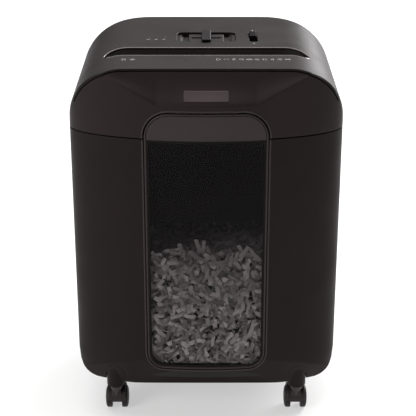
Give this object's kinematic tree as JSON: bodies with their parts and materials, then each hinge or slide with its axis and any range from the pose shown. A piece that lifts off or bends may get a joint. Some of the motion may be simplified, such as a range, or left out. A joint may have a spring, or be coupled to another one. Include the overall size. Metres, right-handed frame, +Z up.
{
  "type": "paper shredder",
  "caption": "Free-standing cross-cut paper shredder: bowed dark plastic cabinet on twin-wheel casters, rounded head with paper mouth and slide controls, pull-out bin with window.",
  "frame": {"origin": "on the floor, under the middle of the object's box", "axes": "+Z up from the floor to the deck, -Y out of the front with the bin, +X to the right seen from the front"},
  "size_m": [0.34, 0.284, 0.486],
  "materials": {
    "shell_black": "fine-textured moulded plastic, warm near-black",
    "cover_black": "fine-textured moulded plastic, satin, a shade lighter in the light",
    "bezel_black": "satin moulded plastic",
    "trim_black": "smooth dark moulded plastic",
    "inner_black": "plain moulded plastic",
    "smoked_pane": "clear grey-smoked plastic pane",
    "lens_dark": "dark light pipes, unlit",
    "badge_grey": "plain grey badge plate",
    "shredded_paper": "loose cross-cut shreds, seen grey through the smoked pane",
    "sheet_steel": "zinc-plated steel sheet and bar",
    "cutter_steel": "hardened, oiled steel",
    "motor_steel": "drawn steel can",
    "bronze": "sintered bronze",
    "nylon": "natural nylon",
    "board_green": "solder-masked board with parts",
    "capacitor_grey": "moulded capacitor case",
    "gland_rubber": "soft grommet",
    "caster_plastic": "satin moulded plastic",
    "caster_steel": "plated steel pin",
    "wheel_black": "hard moulded plastic wheel"
  },
  "bodies": {
    "cabinet_and_head": {"cabinet": "shell_black", "head_base": "inner_black", "head_casing": "shell_black", "top_cover": "cover_black", "badge": "badge_grey", "throat_front_guide": "trim_black", "throat_rear_guide": "trim_black", "switch_tray": "cover_black", "selector_switch": "inner_black", "lock_tray": "trim_black", "led_lens_1": "lens_dark", "led_lens_2": "lens_dark", "led_lens_3": "lens_dark", "control_board": "board_green", "capacitor": "capacitor_grey", "capacitor_clip": "nylon", "bin_switch": "inner_black", "cord_gland": "gland_rubber", "frame_plate_left": "sheet_steel", "frame_plate_right": "sheet_steel", "tie_rod_front": "sheet_steel", "tie_rod_rear": "sheet_steel", "front_stripper": "nylon", "rear_stripper": "nylon", "idler_pin": "sheet_steel", "motor": "motor_steel", "gear_cover": "inner_black", "front_bushing_left": "bronze", "rear_bushing_left": "bronze", "front_bushing_right": "bronze", "rear_bushing_right": "bronze"},
    "bin": {"bin_tub": "inner_black", "bin_front": "shell_black", "bin_bezel": "bezel_black", "bin_window": "smoked_pane", "paper_shreds": "shredded_paper"},
    "selector_slider": {"selector_knob": "trim_black"},
    "lock_slider": {"lock_knob": "trim_black"},
    "front_cutter_shaft": {"front_cutter": "cutter_steel", "front_cutter_gear": "cutter_steel"},
    "rear_cutter_shaft": {"rear_cutter": "cutter_steel", "rear_cutter_gear": "cutter_steel"},
    "reduction_gear": {"idler_gear": "nylon"},
    "motor_shaft": {"motor_pinion": "cutter_steel"},
    "caster_front_left": {"caster_front_left_hood": "caster_plastic", "caster_front_left_axle": "caster_steel"},
    "caster_front_left_wheel_left": {"caster_front_left_wheel_left": "wheel_black"},
    "caster_front_left_wheel_right": {"caster_front_left_wheel_right": "wheel_black"},
    "caster_front_right": {"caster_front_right_hood": "caster_plastic", "caster_front_right_axle": "caster_steel"},
    "caster_front_right_wheel_left": {"caster_front_right_wheel_left": "wheel_black"},
    "caster_front_right_wheel_right": {"caster_front_right_wheel_right": "wheel_black"},
    "caster_rear_left": {"caster_rear_left_hood": "caster_plastic", "caster_rear_left_axle": "caster_steel"},
    "caster_rear_left_wheel_left": {"caster_rear_left_wheel_left": "wheel_black"},
    "caster_rear_left_wheel_right": {"caster_rear_left_wheel_right": "wheel_black"},
    "caster_rear_right": {"caster_rear_right_hood": "caster_plastic", "caster_rear_right_axle": "caster_steel"},
    "caster_rear_right_wheel_left": {"caster_rear_right_wheel_left": "wheel_black"},
    "caster_rear_right_wheel_right": {"caster_rear_right_wheel_right": "wheel_black"}
  },
  "joints": [
    {"name": "bin_slide", "type": "slide", "parent": "cabinet_and_head", "child": "bin", "axis": [0, -1, 0], "range_m": [0, 0.26]},
    {"name": "selector_slide", "type": "slide", "parent": "cabinet_and_head", "child": "selector_slider", "axis": [1, 0, 0], "range_m": [-0.015, 0.015]},
    {"name": "lock_slide", "type": "slide", "parent": "cabinet_and_head", "child": "lock_slider", "axis": [0, -1, 0], "range_m": [0, 0.019]},
    {"name": "front_cutter_spin", "type": "hinge", "parent": "cabinet_and_head", "child": "front_cutter_shaft", "pos_m": [0, -0.062, 0.432], "axis": [-1, 0, 0], "continuous": true},
    {"name": "rear_cutter_spin", "type": "hinge", "parent": "cabinet_and_head", "child": "rear_cutter_shaft", "pos_m": [0, -0.02, 0.432], "axis": [-1, 0, 0], "continuous": true},
    {"name": "reduction_gear_spin", "type": "hinge", "parent": "cabinet_and_head", "child": "reduction_gear", "pos_m": [0.135, 0.00998, 0.433], "axis": [-1, 0, 0], "continuous": true},
    {"name": "motor_shaft_spin", "type": "hinge", "parent": "cabinet_and_head", "child": "motor_shaft", "pos_m": [0.12, 0.04435, 0.436], "axis": [-1, 0, 0], "continuous": true},
    {"name": "caster_front_left_swivel", "type": "hinge", "parent": "cabinet_and_head", "child": "caster_front_left", "pos_m": [-0.1203, -0.106, 0.04], "axis": [0, 0, 1], "continuous": true},
    {"name": "caster_front_left_wheel_left_spin", "type": "hinge", "parent": "caster_front_left", "child": "caster_front_left_wheel_left", "pos_m": [-0.1313, -0.091, 0.015], "axis": [1, 0, 0], "continuous": true},
    {"name": "caster_front_left_wheel_right_spin", "type": "hinge", "parent": "caster_front_left", "child": "caster_front_left_wheel_right", "pos_m": [-0.1093, -0.091, 0.015], "axis": [1, 0, 0], "continuous": true},
    {"name": "caster_front_right_swivel", "type": "hinge", "parent": "cabinet_and_head", "child": "caster_front_right", "pos_m": [0.1203, -0.106, 0.04], "axis": [0, 0, 1], "continuous": true},
    {"name": "caster_front_right_wheel_left_spin", "type": "hinge", "parent": "caster_front_right", "child": "caster_front_right_wheel_left", "pos_m": [0.1093, -0.091, 0.015], "axis": [1, 0, 0], "continuous": true},
    {"name": "caster_front_right_wheel_right_spin", "type": "hinge", "parent": "caster_front_right", "child": "caster_front_right_wheel_right", "pos_m": [0.1313, -0.091, 0.015], "axis": [1, 0, 0], "continuous": true},
    {"name": "caster_rear_left_swivel", "type": "hinge", "parent": "cabinet_and_head", "child": "caster_rear_left", "pos_m": [-0.1203, 0.106, 0.04], "axis": [0, 0, 1], "continuous": true},
    {"name": "caster_rear_left_wheel_left_spin", "type": "hinge", "parent": "caster_rear_left", "child": "caster_rear_left_wheel_left", "pos_m": [-0.1313, 0.121, 0.015], "axis": [1, 0, 0], "continuous": true},
    {"name": "caster_rear_left_wheel_right_spin", "type": "hinge", "parent": "caster_rear_left", "child": "caster_rear_left_wheel_right", "pos_m": [-0.1093, 0.121, 0.015], "axis": [1, 0, 0], "continuous": true},
    {"name": "caster_rear_right_swivel", "type": "hinge", "parent": "cabinet_and_head", "child": "caster_rear_right", "pos_m": [0.1203, 0.106, 0.04], "axis": [0, 0, 1], "continuous": true},
    {"name": "caster_rear_right_wheel_left_spin", "type": "hinge", "parent": "caster_rear_right", "child": "caster_rear_right_wheel_left", "pos_m": [0.1093, 0.121, 0.015], "axis": [1, 0, 0], "continuous": true},
    {"name": "caster_rear_right_wheel_right_spin", "type": "hinge", "parent": "caster_rear_right", "child": "caster_rear_right_wheel_right", "pos_m": [0.1313, 0.121, 0.015], "axis": [1, 0, 0], "continuous": true}
  ],
  "couplings": [
    {"joint": "rear_cutter_spin", "follows": "front_cutter_spin", "ratio": -1},
    {"joint": "reduction_gear_spin", "follows": "front_cutter_spin", "ratio": 2.3333},
    {"joint": "motor_shaft_spin", "follows": "front_cutter_spin", "ratio": -6.6111}
  ]
}
